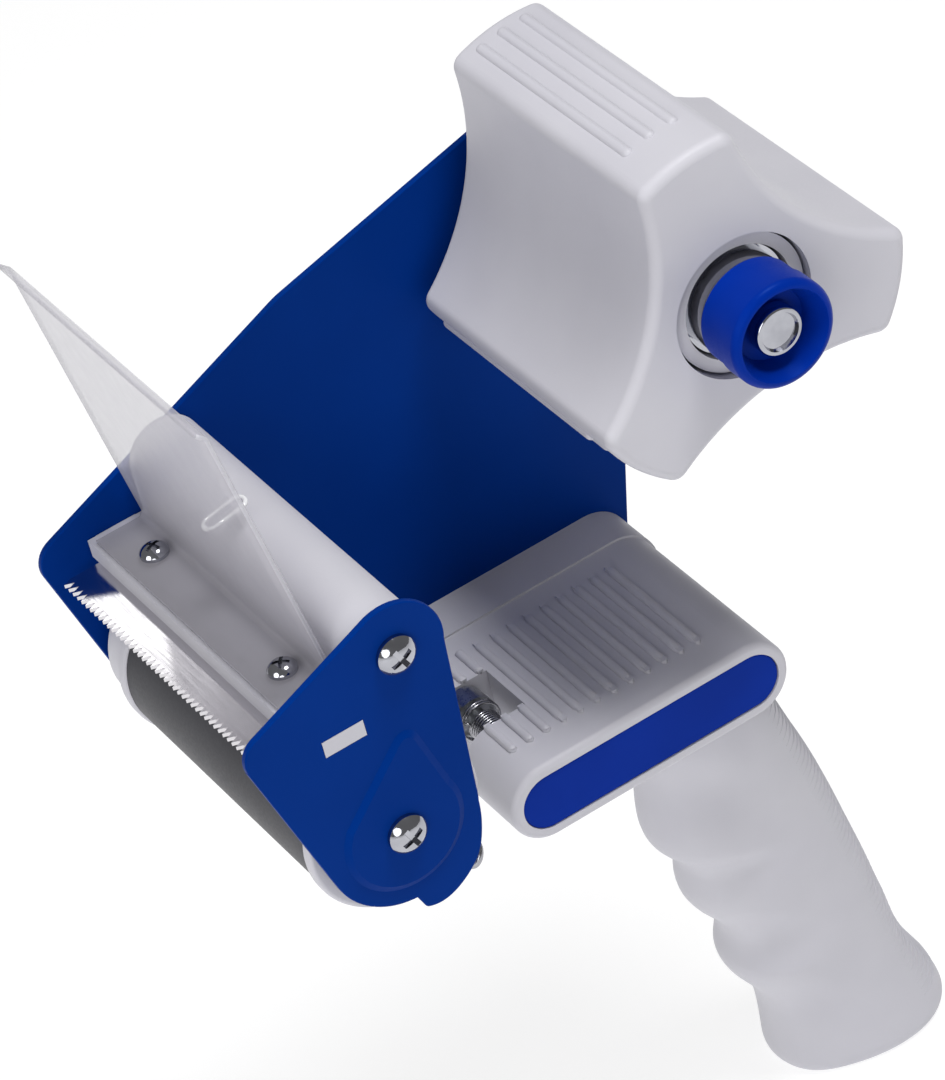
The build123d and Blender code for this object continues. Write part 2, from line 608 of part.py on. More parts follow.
# --- handle -----------------------------------------------------------------------------------------
# Grip sections from the block down to the butt: height, front, rear, half width, and how far each
# flank is hollowed beside a finger groove. The grooves are about 23 mm apart.
GRIP_SECTIONS = (
    (-98.0, -38.0, -4.5, 14.0, 0.0),
    (-108.0, -32.5, -1.0, 14.6, 0.0),
    (-118.0, -28.4, 3.0, 15.0, 0.6),
    (-124.0, -27.2, 5.0, 15.2, 1.4),
    (-131.0, -27.2, 7.0, 15.3, 2.0),
    (-138.0, -28.4, 9.1, 15.4, 1.0),
    (-145.0, -28.6, 10.9, 15.4, 0.5),
    (-150.0, -25.8, 12.0, 15.4, 1.4),
    (-154.0, -23.4, 12.8, 15.4, 2.2),
    (-161.0, -24.0, 14.2, 15.4, 0.8),
    (-167.0, -22.8, 15.4, 15.4, 0.8),
    (-172.0, -19.4, 16.3, 15.4, 1.8),
    (-177.0, -17.6, 17.1, 15.4, 2.2),
    (-183.0, -18.8, 18.2, 15.4, 0.8),
    (-189.0, -18.2, 19.1, 15.4, 0.8),
    (-196.0, -14.2, 20.3, 15.5, 1.9),
    (-203.0, -12.8, 22.6, 15.7, 2.4),
    (-209.0, -13.0, 25.3, 16.0, 2.0),
    (-214.0, -13.4, 27.2, 16.3, 1.8),
    (-217.0, -13.2, 27.2, 16.2, 1.6),
    (GRIP_BASE, -11.0, 25.2, 14.4, 1.2),
)
PIVOT = (-59.0, -90.0)


def stadium(radius):
    """A slot shape round the block's two end centres."""
    with BuildSketch() as slot:
        with Locations(BLOCK_CENTRE):
            SlotCenterToCenter(2 * BLOCK_HALF_SPAN, 2 * radius)
    return slot.sketch


def grip_section(front, rear, half_width, hollow):
    """A closed curve round the grip: full at the rear and narrower at the fingers."""
    depth = rear - front
    flank = [
        (rear - 0.06 * depth, 0.56 * half_width),
        (rear - 0.22 * depth, 0.90 * half_width),
        (rear - 0.46 * depth, half_width),
        (front + 0.26 * depth, 0.93 * half_width - hollow),
        (front + 0.07 * depth, 0.56 * half_width - 0.3 * hollow),
    ]
    around = [(rear, 0), *flank, (front, 0), *[(x, -y) for x, y in reversed(flank)]]
    with BuildSketch() as section:
        with BuildLine():
            Spline(*around, periodic=True)
        make_face()
    return section.sketch


with BuildPart() as handle_body:
    for height, front, rear, half_width, hollow in GRIP_SECTIONS:
        with BuildSketch(Plane(origin=(0, -GRIP_MIDDLE, height))):
            add(grip_section(front, rear, half_width, hollow))
    loft()
    with BuildSketch(side_plane(0)):
        add(stadium(BLOCK_RADIUS))
    extrude(amount=BLOCK_WIDTH)
    fillet(handle_body.faces().sort_by(Axis.Y)[0].edges(), radius=BLOCK_NEAR_EDGE)
    with BuildSketch(side_plane(0)):
        add(stadium(BLOCK_RADIUS + BLOCK_FLANGE_STEP))
    extrude(amount=BLOCK_FLANGE_WIDTH)
    block_top = BLOCK_CENTRE[1] + BLOCK_RADIUS
    with BuildSketch(Plane.XY.offset(block_top - BLOCK_RIB_ROOT)):
        for number in range(BLOCK_RIB_COUNT):
            rib_x = BLOCK_RIB_FIRST - BLOCK_RIB_PITCH * number
            with Locations((rib_x, -BLOCK_RIB_MIDDLE)):
                SlotOverall(BLOCK_RIB_LENGTH, BLOCK_RIB_WIDTH, rotation=90)
    extrude(amount=BLOCK_RIB_ROOT + BLOCK_RIB_HEIGHT)
    with BuildSketch(side_plane(BLOCK_WIDTH)):
        add(stadium(BLOCK_POCKET_RADIUS))
    extrude(amount=-BLOCK_POCKET_DEPTH, mode=Mode.SUBTRACT)
    with BuildSketch(side_plane(NOTCH_FAR)):
        with Locations((NOTCH_REAR - NOTCH_LENGTH / 2, BLOCK_CENTRE[1] + 1.0)):
            Rectangle(NOTCH_LENGTH, NOTCH_HEIGHT)
    extrude(amount=NOTCH_NEAR - NOTCH_FAR, mode=Mode.SUBTRACT)
    with BuildSketch(side_plane(PIN_FAR)):
        with Locations(PIVOT):
            Circle(PIVOT_RADIUS + PRESS_CLEARANCE)
    extrude(amount=PIN_NEAR - PIN_FAR, mode=Mode.SUBTRACT)
    with BuildSketch(side_plane(0)):
        with Locations(*[(x, BLOCK_CENTRE[1]) for x in HANDLE_SCREW_X]):
            Circle(SHAFT_SCREW_RADIUS + PRESS_CLEARANCE)
    extrude(amount=SHAFT_SCREW_LENGTH, mode=Mode.SUBTRACT)

with BuildPart() as handle_end_cap:
    with BuildSketch(side_plane(BLOCK_WIDTH - END_CAP_SINK - END_CAP_THICKNESS)):
        add(stadium(BLOCK_POCKET_RADIUS - FIXED_CLEARANCE))
    extrude(amount=END_CAP_THICKNESS)
    fillet(handle_end_cap.edges().group_by(Axis.Y)[0], radius=END_CAP_EDGE)

with BuildPart() as handle_screws:
    for x in HANDLE_SCREW_X:
        add(far_plane(-PLATE_THICKNESS) * Pos(-x, BLOCK_CENTRE[1], 0) * shaft_screw)

# --- sprung tape retainer ---------------------------------------------------------------------------
# A wire bail lies along the rear of the roller and keeps the tape on it. Its arm turns on a pin in
# the block's notch, and a torsion spring pushes it towards the roller.
ARM_FAR = 26.6
ARM_NEAR = 31.6
ARM_HUB_RADIUS = 4.6
ARM_HALF_WIDTH = 2.6
ARM_TIP_RADIUS = 4.4
WIRE_MIDDLE = ((WIRE_LOWER[0] + WIRE_UPPER[0]) / 2, (WIRE_LOWER[1] + WIRE_UPPER[1]) / 2)

with BuildPart() as retainer_pin:
    with BuildSketch(side_plane(PIN_FAR)):
        with Locations(PIVOT):
            Circle(PIVOT_RADIUS)
    extrude(amount=PIN_NEAR - PIN_FAR)

arm_start = Vector(*PIVOT)
arm_end = Vector(*WIRE_MIDDLE)
arm_side = (arm_end - arm_start).normalized().rotate(Axis.Z, 90) * ARM_HALF_WIDTH

with BuildPart() as retainer_arm:
    with BuildSketch(side_plane(ARM_FAR)):
        with Locations(PIVOT):
            Circle(ARM_HUB_RADIUS)
        with Locations(WIRE_MIDDLE):
            Circle(ARM_TIP_RADIUS)
        with BuildLine():
            Polyline(
                arm_start + arm_side, arm_end + arm_side, arm_end - arm_side, arm_start - arm_side, close=True
            )
        make_face()
        with Locations(PIVOT):
            Circle(PIVOT_RADIUS + RUNNING_CLEARANCE, mode=Mode.SUBTRACT)
        with Locations(WIRE_LOWER, WIRE_UPPER):
            Circle(WIRE_RADIUS + 0.03, mode=Mode.SUBTRACT)
    extrude(amount=ARM_NEAR - ARM_FAR)

with BuildPart() as retainer_wire:
    across = Vector(WIRE_UPPER[0] - WIRE_LOWER[0], 0, WIRE_UPPER[1] - WIRE_LOWER[1])
    bend = across.length / 2
    loop_plane = Plane(
        origin=(WIRE_MIDDLE[0], 0, WIRE_MIDDLE[1]), x_dir=across, z_dir=across.cross(Vector(0, 1, 0))
    )
    with BuildLine(loop_plane):
        first_run = Line((bend, -WIRE_FAR), (bend, -WIRE_NEAR))
        ThreePointArc((bend, -WIRE_NEAR), (0, -WIRE_NEAR - bend), (-bend, -WIRE_NEAR))
        Line((-bend, -WIRE_NEAR), (-bend, -WIRE_FAR))
        ThreePointArc((-bend, -WIRE_FAR), (0, -WIRE_FAR + bend), (bend, -WIRE_FAR))
    with BuildSketch(Plane(origin=first_run @ 0, z_dir=first_run % 0)):
        Circle(WIRE_RADIUS)
    sweep()

TORSION_RADIUS = 4.4
TORSION_WIRE = 1.0
TORSION_TURNS = 6
TORSION_START = ARM_NEAR + 0.3
with BuildPart() as retainer_spring:
    coil_length = NOTCH_NEAR - TORSION_START - TORSION_WIRE - 0.6
    coil_centre = (PIVOT[0], -TORSION_START - TORSION_WIRE / 2, PIVOT[1])
    with BuildLine():
        coil = Helix(
            coil_length / TORSION_TURNS, coil_length, TORSION_RADIUS, center=coil_centre, direction=(0, -1, 0)
        )
    with BuildSketch(Plane(origin=coil @ 0, z_dir=coil % 0)):
        Circle(TORSION_WIRE / 2)
    sweep(path=coil, is_frenet=True)

# --- export -----------------------------------------------------------------------------------------
PIECES = {
    "side_plate": side_plate,
    "front_side_plate": front_side_plate,
    "tape_hub": tape_hub,
    "hub_bushes": hub_bushes,
    "hub_axle": hub_axle,
    "axle_lock_washer": axle_lock_washer,
    "axle_nut": axle_nut,
    "friction_washer": friction_washer,
    "spring_cup": spring_cup,
    "brake_spring": brake_spring,
    "brake_knob": brake_knob,
    "knob_bolt": knob_bolt,
    "upper_shaft": upper_shaft,
    "roller_shaft": roller_shaft,
    "shaft_screws": shaft_screws,
    "roller_sleeve": roller_sleeve,
    "roller_end_caps": roller_end_caps,
    "roller_washers": roller_washers,
    "tape_guide": tape_guide,
    "cutter_blade": cutter_blade,
    "wiper_flap": wiper_flap,
    "flap_screws": flap_screws,
    "handle_body": handle_body,
    "handle_end_cap": handle_end_cap,
    "handle_screws": handle_screws,
    "retainer_pin": retainer_pin,
    "retainer_arm": retainer_arm,
    "retainer_wire": retainer_wire,
    "retainer_spring": retainer_spring,
}
for name, piece in PIECES.items():
    piece.part.label = name
    export_step(piece.part, f"parts/{name}.step")
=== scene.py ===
import json
import math

import bmesh
import bpy
from mathutils import Euler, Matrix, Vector
from mathutils.bvhtree import BVHTree


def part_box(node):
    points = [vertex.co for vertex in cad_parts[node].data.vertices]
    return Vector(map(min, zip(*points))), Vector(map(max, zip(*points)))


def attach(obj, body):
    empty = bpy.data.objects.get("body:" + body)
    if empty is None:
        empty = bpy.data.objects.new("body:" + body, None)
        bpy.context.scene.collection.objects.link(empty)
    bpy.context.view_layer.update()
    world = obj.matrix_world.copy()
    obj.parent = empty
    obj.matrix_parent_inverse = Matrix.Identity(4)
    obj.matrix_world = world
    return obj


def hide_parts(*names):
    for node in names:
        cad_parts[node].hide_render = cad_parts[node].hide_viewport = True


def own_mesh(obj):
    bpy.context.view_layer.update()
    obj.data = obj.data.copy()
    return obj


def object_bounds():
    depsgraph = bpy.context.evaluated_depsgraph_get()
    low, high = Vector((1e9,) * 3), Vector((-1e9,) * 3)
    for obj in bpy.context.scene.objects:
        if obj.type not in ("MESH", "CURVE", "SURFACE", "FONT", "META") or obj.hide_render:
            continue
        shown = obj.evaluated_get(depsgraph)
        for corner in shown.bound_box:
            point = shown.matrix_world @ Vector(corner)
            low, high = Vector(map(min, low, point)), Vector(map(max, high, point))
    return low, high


# The looks of a hand-held packing tape gun, built round its CAD frame. Metres throughout: X to the rear
# of the tool, Z up, and the open side faces -Y. The tape axle's axis is the Y axis.

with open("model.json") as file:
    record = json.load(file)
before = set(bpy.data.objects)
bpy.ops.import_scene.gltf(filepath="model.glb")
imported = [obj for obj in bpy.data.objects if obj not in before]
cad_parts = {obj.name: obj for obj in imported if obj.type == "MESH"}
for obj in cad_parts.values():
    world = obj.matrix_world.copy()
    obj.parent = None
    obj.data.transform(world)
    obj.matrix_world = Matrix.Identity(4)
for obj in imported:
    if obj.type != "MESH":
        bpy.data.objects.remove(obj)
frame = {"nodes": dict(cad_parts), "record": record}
cad_low, cad_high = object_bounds()
scene = bpy.context.scene
nodes = frame["nodes"]


# --- camera, floor and light ------------------------------------------------------------------------
SENSOR_WIDTH = 36.0
LENS = 194.0
CLIP_START, CLIP_END = 0.05, 20.0
CAMERA_PLACE = (-0.3963, -0.8731, 0.6367)
CAMERA_DEGREES = (51.926, 12.456, -31.988)
FLOOR_REACH = 6.0
FLOOR_GREY = 0.35
FLOOR_GLOW = 0.74
WORLD_GLOW = 0.2
WHITE = (1, 1, 1, 1)
# Each light's name, place, target, disk diameter in metres and power in watts.
LIGHTS = (
    ("key_light", (0.25, -0.3, 1.15), (-0.03, -0.04, -0.05), 0.45, 12.5),
    ("fill_light", (-0.85, -0.95, 0.35), (-0.03, -0.04, -0.08), 0.8, 4.4),
    ("front_light", (-0.85, -0.15, 0.45), (-0.11, -0.04, -0.03), 0.5, 2.0),
    ("back_card", (0.10, 0.62, 0.46), (-0.118, -0.045, -0.037), 0.10, 0.05),
)


def add_camera():
    data = bpy.data.cameras.new("camera")
    data.sensor_width = SENSOR_WIDTH
    data.lens = LENS
    data.clip_start, data.clip_end = CLIP_START, CLIP_END
    camera = bpy.data.objects.new("camera", data)
    camera.location = CAMERA_PLACE
    camera.rotation_euler = Euler([math.radians(angle) for angle in CAMERA_DEGREES])
    scene.collection.objects.link(camera)
    scene.camera = camera


def add_area_light(name, place, target, size, power):
    data = bpy.data.lights.new(name, "AREA")
    data.shape = "DISK"
    data.size = size
    data.energy = power
    light = bpy.data.objects.new(name, data)
    light.location = place
    light.rotation_euler = (Vector(target) - Vector(place)).to_track_quat("-Z", "Y").to_euler()
    scene.collection.objects.link(light)


def add_floor():
    mesh = bpy.data.meshes.new("floor")
    level = cad_low.z
    corners = [(x * FLOOR_REACH, y * FLOOR_REACH, level) for x, y in ((-1, -1), (1, -1), (1, 1), (-1, 1))]
    mesh.from_pydata(corners, [], [(0, 1, 2, 3)])
    floor = bpy.data.objects.new("floor", mesh)
    scene.collection.objects.link(floor)
    paper = bpy.data.materials.new("floor_paper")
    paper.use_nodes = True
    shader = paper.node_tree.nodes["Principled BSDF"]
    shader.inputs["Base Color"].default_value = (FLOOR_GREY, FLOOR_GREY, FLOOR_GREY, 1)
    shader.inputs["Roughness"].default_value = 0.9
    shader.inputs["Emission Color"].default_value = WHITE
    shader.inputs["Emission Strength"].default_value = FLOOR_GLOW
    mesh.materials.append(paper)


add_camera()
add_floor()
world = bpy.data.worlds.new("studio")
world.use_nodes = True
world.node_tree.nodes["Background"].inputs["Color"].default_value = WHITE
world.node_tree.nodes["Background"].inputs["Strength"].default_value = WORLD_GLOW
scene.world = world
scene.view_settings.view_transform = "Standard"
for light_values in LIGHTS:
    add_area_light(*light_values)


# --- materials --------------------------------------------------------------------------------------
# The noise levels at which a blend of colour or roughness starts and ends.
NOISE_LOW, NOISE_HIGH = 0.3, 0.7
PATCH_DETAIL = 3.0
GRAIN_DETAIL = 4.0


def linear(red, green, blue):
    """A colour picked in 8-bit sRGB, as linear light."""
    channels = []
    for value in (red, green, blue):
        share = value / 255
        channels.append(share / 12.92 if share <= 0.04045 else ((share + 0.055) / 1.055) ** 2.4)
    return (*channels, 1.0)


def surface(name, light, dark, blotch, roughness, grain, depth, stretch=(1, 1, 1), **sockets):
    """A material whose colour drifts from light to dark over patches of the blotch size. Its roughness
    varies between the two values, and fine grain of that size and depth shows as a bump. Sizes in metres."""
    made = bpy.data.materials.new(name)
    made.use_nodes = True
    tree = made.node_tree
    shader = tree.nodes["Principled BSDF"]
    for socket, value in sockets.items():
        shader.inputs[socket.replace("_", " ")].default_value = value
    place = tree.nodes.new("ShaderNodeTexCoord")
    mapping = tree.nodes.new("ShaderNodeMapping")
    mapping.inputs["Scale"].default_value = stretch
    tree.links.new(place.outputs["Object"], mapping.inputs["Vector"])

    patches = tree.nodes.new("ShaderNodeTexNoise")
    patches.inputs["Scale"].default_value = 1 / blotch
    patches.inputs["Detail"].default_value = PATCH_DETAIL
    tree.links.new(mapping.outputs["Vector"], patches.inputs["Vector"])
    ramp = tree.nodes.new("ShaderNodeValToRGB")
    ramp.color_ramp.elements[0].position = NOISE_LOW
    ramp.color_ramp.elements[0].color = dark
    ramp.color_ramp.elements[1].position = NOISE_HIGH
    ramp.color_ramp.elements[1].color = light
    tree.links.new(patches.outputs["Fac"], ramp.inputs["Fac"])
    tree.links.new(ramp.outputs["Color"], shader.inputs["Base Color"])

    fine = tree.nodes.new("ShaderNodeTexNoise")
    fine.inputs["Scale"].default_value = 1 / grain
    fine.inputs["Detail"].default_value = GRAIN_DETAIL
    tree.links.new(mapping.outputs["Vector"], fine.inputs["Vector"])
    spread = tree.nodes.new("ShaderNodeMapRange")
    spread.inputs["From Min"].default_value = NOISE_LOW
    spread.inputs["From Max"].default_value = NOISE_HIGH
    spread.inputs["To Min"].default_value = roughness[0]
    spread.inputs["To Max"].default_value = roughness[1]
    tree.links.new(fine.outputs["Fac"], spread.inputs["Value"])
    tree.links.new(spread.outputs["Result"], shader.inputs["Roughness"])
    bump = tree.nodes.new("ShaderNodeBump")
    bump.inputs["Strength"].default_value = 1.0
    bump.inputs["Distance"].default_value = depth
    tree.links.new(fine.outputs["Fac"], bump.inputs["Height"])
    tree.links.new(bump.outputs["Normal"], shader.inputs["Normal"])
    return made


blue_paint = surface(
    "blue_paint", linear(1, 48, 130), linear(0, 43, 120), 0.05, (0.38, 0.48), 0.0012, 0.00001,
    Specular_IOR_Level=0.06, Specular_Tint=(0.1, 0.3, 1.0, 1.0),
)
blue_plastic = surface(
    "blue_moulded", linear(2, 43, 148), linear(1, 39, 138), 0.02, (0.3, 0.42), 0.0005, 0.00001,
    Specular_IOR_Level=0.10, Specular_Tint=(0.15, 0.4, 1.0, 1.0),
)
grey_plastic = surface(
    "grey_moulded", linear(199, 198, 205), linear(192, 191, 199), 0.03, (0.42, 0.58), 0.0004, 0.000012,
    Specular_IOR_Level=0.35,
)
white_plastic = surface(
    "white_nylon", linear(225, 225, 222), linear(214, 214, 210), 0.01, (0.4, 0.5), 0.0004, 0.00001,
)
roller_plastic = surface(
    "roller_sleeve_grey", linear(66, 66, 71), linear(58, 58, 63), 0.03, (0.42, 0.52), 0.0006, 0.00001,
    Specular_IOR_Level=0.25,
)
clear_plastic = surface(
    "frosted_sheet", linear(192, 190, 198), linear(186, 184, 193), 0.04, (0.30, 0.40), 0.004, 0.000002,
    Alpha=0.43, Specular_IOR_Level=0.6,
)
# The tongue's rim: clear plastic coloured near white and nearly opaque, a painted highlight along its glossy
# edge.
clear_rim_painted_highlight = surface(
    "clear_bead_painted_highlight", linear(244, 244, 246), linear(238, 238, 241), 0.01, (0.04, 0.10), 0.001, 0.000004,
    Alpha=0.95, Specular_IOR_Level=0.9,
)
clear_edge = surface(
    "clear_edge", linear(206, 205, 212), linear(198, 197, 204), 0.01, (0.2, 0.3), 0.001, 0.000002,
    Alpha=0.6,
)
blade_steel = surface(
    "blade_steel", linear(226, 224, 226), linear(206, 204, 208), 0.01, (0.08, 0.18), 0.0004, 0.000004,
    stretch=(1, 0.05, 1), Metallic=1.0,
)
zinc_steel = surface(
    "zinc_plate", linear(190, 192, 196), linear(166, 168, 172), 0.006, (0.25, 0.4), 0.0003, 0.000006,
    Metallic=1.0,
)
spring_steel = surface(
    "spring_wire", linear(178, 178, 182), linear(150, 150, 156), 0.002, (0.16, 0.3), 0.0003, 0.000006,
    Metallic=1.0,
)
chrome = surface(
    "bright_chrome", linear(182, 183, 190), linear(164, 165, 172), 0.005, (0.05, 0.12), 0.0005, 0.000004,
    Metallic=1.0,
)

FINISHES = {
    "blue_steel": blue_paint,
    "blue_plastic": blue_plastic,
    "grey_plastic": grey_plastic,
    "white_plastic": white_plastic,
    "roller_grey": roller_plastic,
    "clear_plastic": clear_plastic,
    "blade_steel": blade_steel,
    "zinc_steel": zinc_steel,
    "spring_steel": spring_steel,
    "chrome": chrome,
}
for part in frame["record"]["subparts"]:
    mesh = nodes[part["node"]].data
    mesh.materials.clear()
    mesh.materials.append(FINISHES[part["material_slot"]])


# --- helpers for mesh pieces ------------------------------------------------------------------------
# A direction that no tube here runs along, and the share of the radius left at a tapered end.
TUBE_SIDEWAYS = Vector((0.31, 0.17, 0.93))
TUBE_TIP = 0.25


def add_piece(name, vertices, faces, finish, body, slot, smooth=True):
    """A mesh piece that rides on a CAD body and takes the given finish. The slot is not used."""
    mesh = bpy.data.meshes.new(name)
    mesh.from_pydata([Vector(v) for v in vertices], [], faces)
    mesh.update()
    built = bmesh.new()
    built.from_mesh(mesh)
    bmesh.ops.recalc_face_normals(built, faces=built.faces)
    built.to_mesh(mesh)
    built.free()
    if smooth:
        mesh.shade_smooth()
    mesh.materials.append(finish)
    piece = bpy.data.objects.new(name, mesh)
    scene.collection.objects.link(piece)
    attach(piece, body)
    return piece


def tube(points, radius, sides, taper=0.0):
    """Vertices and faces of a closed round bar along the points. A taper narrows each end over that
    share of its length."""
    vertices, faces = [], []
    last = len(points) - 1
    for number, point in enumerate(points):
        ahead = points[min(number + 1, last)] - points[max(number - 1, 0)]
        ahead.normalize()
        side = ahead.cross(TUBE_SIDEWAYS).normalized()
        up = side.cross(ahead)
        ends = min(number, last - number) / max(1, last * taper) if taper else 1.0
        size = radius * min(1.0, TUBE_TIP + (1 - TUBE_TIP) * ends)
        for turn in range(sides):
            angle = 2 * math.pi * turn / sides
            vertices.append(point + (side * math.cos(angle) + up * math.sin(angle)) * size)
    for number in range(last):
        for turn in range(sides):
            after = (turn + 1) % sides
            low, high = number * sides, (number + 1) * sides
            faces.append((low + turn, low + after, high + after, high + turn))
    faces.append(tuple(range(sides)))
    faces.append(tuple(range(last * sides, (last + 1) * sides)))
    return vertices, faces


def joined(shapes):
    """Several (vertices, faces) shapes as one."""
    vertices, faces = [], []
    for some_vertices, some_faces in shapes:
        start = len(vertices)
        vertices.extend(some_vertices)
        faces.extend(tuple(start + corner for corner in face) for face in some_faces)
    return vertices, faces


def cad_tree(node):
    """A ray-casting tree of a CAD node at rest."""
    mesh = nodes[node].data
    return BVHTree.FromPolygons([v.co for v in mesh.vertices], [tuple(p.vertices) for p in mesh.polygons])


# --- grip serrations --------------------------------------------------------------------------------
# Fine ridges run across the grip's rear strap. Each follows the grip's own surface, found by rays.
SERRATION_TOP = -0.107
SERRATION_PITCH = 0.00185
SERRATION_COUNT = 57
SERRATION_RADIUS = 0.00042
SERRATION_SWEEP = 58
SERRATION_STEPS = 19
SERRATION_SIDES = 8
SERRATION_TAPER = 0.2
SERRATION_SINK = 0.00008
SERRATION_FEWEST = 5
RAY_REACH = 0.06
GRIP_TOP_X = -0.012
GRIP_LEAN = 0.20
GRIP_MIDDLE_Y = -0.030
handle_tree = cad_tree("handle_body")
ridges = []
for number in range(SERRATION_COUNT):
    level = SERRATION_TOP - SERRATION_PITCH * number
    path = []
    for step in range(SERRATION_STEPS):
        angle = math.radians(SERRATION_SWEEP * (2 * step / (SERRATION_STEPS - 1) - 1))
        way = Vector((math.cos(angle), math.sin(angle), 0))
        middle_x = GRIP_TOP_X + GRIP_LEAN * (SERRATION_TOP - level)
        start = Vector((middle_x, GRIP_MIDDLE_Y, level)) + way * RAY_REACH
        hit, normal, face, distance = handle_tree.ray_cast(start, -way)
        if hit is not None:
            path.append(hit - normal * SERRATION_SINK)
    if len(path) >= SERRATION_FEWEST:
        ridges.append(tube(path, SERRATION_RADIUS, SERRATION_SIDES, taper=SERRATION_TAPER))
add_piece("grip_serrations", *joined(ridges), grey_plastic, "frame", "grey_plastic")

# --- block ribs -------------------------------------------------------------------------------------
# A half-round crown covers each of the block's moulded ribs. The notch cuts the ribs in front in two.
RIB_COUNT = 12
RIB_PITCH = 0.00404
RIB_FIRST_X = -0.0168
RIB_RADIUS = 0.00096
RIB_STEPS = 16
RIB_SIDES = 16
RIB_TAPER = 0.06
RIB_FAR_Y, RIB_NEAR_Y = -0.0168, -0.0518
NOTCH_REAR_X = -0.0520
NOTCH_FAR_Y, NOTCH_NEAR_Y = -0.0260, -0.0410
BLOCK_MIDDLE_Z = -0.0940
BLOCK_RADIUS = 0.0087
BLOCK_FLAT_END_X = -0.0601
crowns = []
for number in range(RIB_COUNT):
    x = RIB_FIRST_X - RIB_PITCH * number
    z = BLOCK_MIDDLE_Z + math.sqrt(BLOCK_RADIUS ** 2 - min(x - BLOCK_FLAT_END_X, 0) ** 2)
    runs = [(RIB_FAR_Y, RIB_NEAR_Y)]
    if x < NOTCH_REAR_X:
        runs = [(RIB_FAR_Y, NOTCH_FAR_Y), (NOTCH_NEAR_Y, RIB_NEAR_Y)]
    for start_y, end_y in runs:
        length = end_y - start_y
        path = [Vector((x, start_y + length * step / RIB_STEPS, z)) for step in range(RIB_STEPS + 1)]
        crowns.append(tube(path, RIB_RADIUS, RIB_SIDES, taper=RIB_TAPER))
add_piece("block_rib_crowns", *joined(crowns), grey_plastic, "frame", "grey_plastic")

# --- wiper flap -------------------------------------------------------------------------------------
# A clear sheet: its foot lies on the guide's ledge under two screws, it bends up, and it ends in a
# short lip that leans forward.
FLAP_SHEET = 0.0009
FLAP_EDGE_SHARE = 0.30
FLAP_BEND_RADIUS = 0.0022
FLAP_BEND_STEPS = 8
FLAP_STATIONS = 12
CUT_EDGE_FACING = 0.2
# The share of the shorter neighbouring run that one bend may take up.
LONGEST_BEND = 0.45
FLAP_FAR_Y, FLAP_NEAR_Y = -0.0026, -0.0789
FLAP_FOOT = Vector((-0.1136, 0, -0.0277))
FLAP_BEND = Vector((-0.1017, 0, -0.0277))
FLAP_TOP = Vector((-0.1125, 0, 0.0390))
FLAP_LIP = Vector((-0.1144, 0, 0.0408))


def rounded_path(corners, radius, steps):
    """The polyline with each inner corner rounded to the radius."""
    path = [corners[0]]
    for before, corner, after in zip(corners, corners[1:], corners[2:]):
        back, ahead = (before - corner).normalized(), (after - corner).normalized()
        half = back.angle(ahead) / 2
        shorter = min((before - corner).length, (after - corner).length)
        reach = min(radius / math.tan(half), LONGEST_BEND * shorter)
        centre = corner + (back + ahead).normalized() * (reach / math.cos(half))
        start, end = corner + back * reach - centre, corner + ahead * reach - centre
        for step in range(steps + 1):
            share = step / steps
            path.append(centre + start.slerp(end, share) * start.length)
    path.append(corners[-1])
    return path


def extruded_sheet(path, thickness, far_y, near_y, steps):
    """A sheet of even thickness along a path in the XZ plane, with eased ends at the far and near Y."""
    edge = FLAP_EDGE_SHARE * thickness
    stations = [(far_y, edge), (far_y - edge, 0.0)]
    for step in range(1, steps):
        stations.append((far_y - edge + (near_y + edge - far_y + edge) * step / steps, 0.0))
    stations += [(near_y + edge, 0.0), (near_y, edge)]
    outline = []
    last = len(path) - 1
    for number, point in enumerate(path):
        ahead = (path[min(number + 1, last)] - path[max(number - 1, 0)]).normalized()
        outline.append((point, Vector((-ahead.z, 0, ahead.x)) * thickness))
    vertices, faces = [], []
    for y, inset in stations:
        ring = []
        for point, across in outline:
            ring.append(point + across * (inset / thickness))
        for point, across in reversed(outline):
            ring.append(point + across * (1 - inset / thickness))
        vertices.extend(Vector((corner.x, y, corner.z)) for corner in ring)
    size = 2 * len(path)
    for station in range(len(stations) - 1):
        for corner in range(size):
            after = (corner + 1) % size
            low, high = station * size, (station + 1) * size
            faces.append((low + corner, low + after, high + after, high + corner))
    for station in (0, len(stations) - 1):
        low = station * size
        for corner in range(len(path) - 1):
            opposite = size - 1 - corner
            faces.append((low + corner, low + corner + 1, low + opposite - 1, low + opposite))
    return vertices, faces


flap_corners = [FLAP_FOOT, FLAP_BEND, FLAP_TOP, FLAP_LIP]
flap_path = rounded_path(flap_corners, FLAP_BEND_RADIUS, FLAP_BEND_STEPS)
flap_sheet = extruded_sheet(flap_path, FLAP_SHEET, FLAP_FAR_Y, FLAP_NEAR_Y, FLAP_STATIONS)
flap = add_piece("wiper_flap_sheet", *flap_sheet, clear_plastic, "frame", "clear_plastic")
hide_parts("wiper_flap")
# The sheet's cut edges catch the light.
flap.data.materials.append(clear_edge)
for polygon in flap.data.polygons:
    if abs(polygon.normal.y) > CUT_EDGE_FACING:
        polygon.material_index = 1
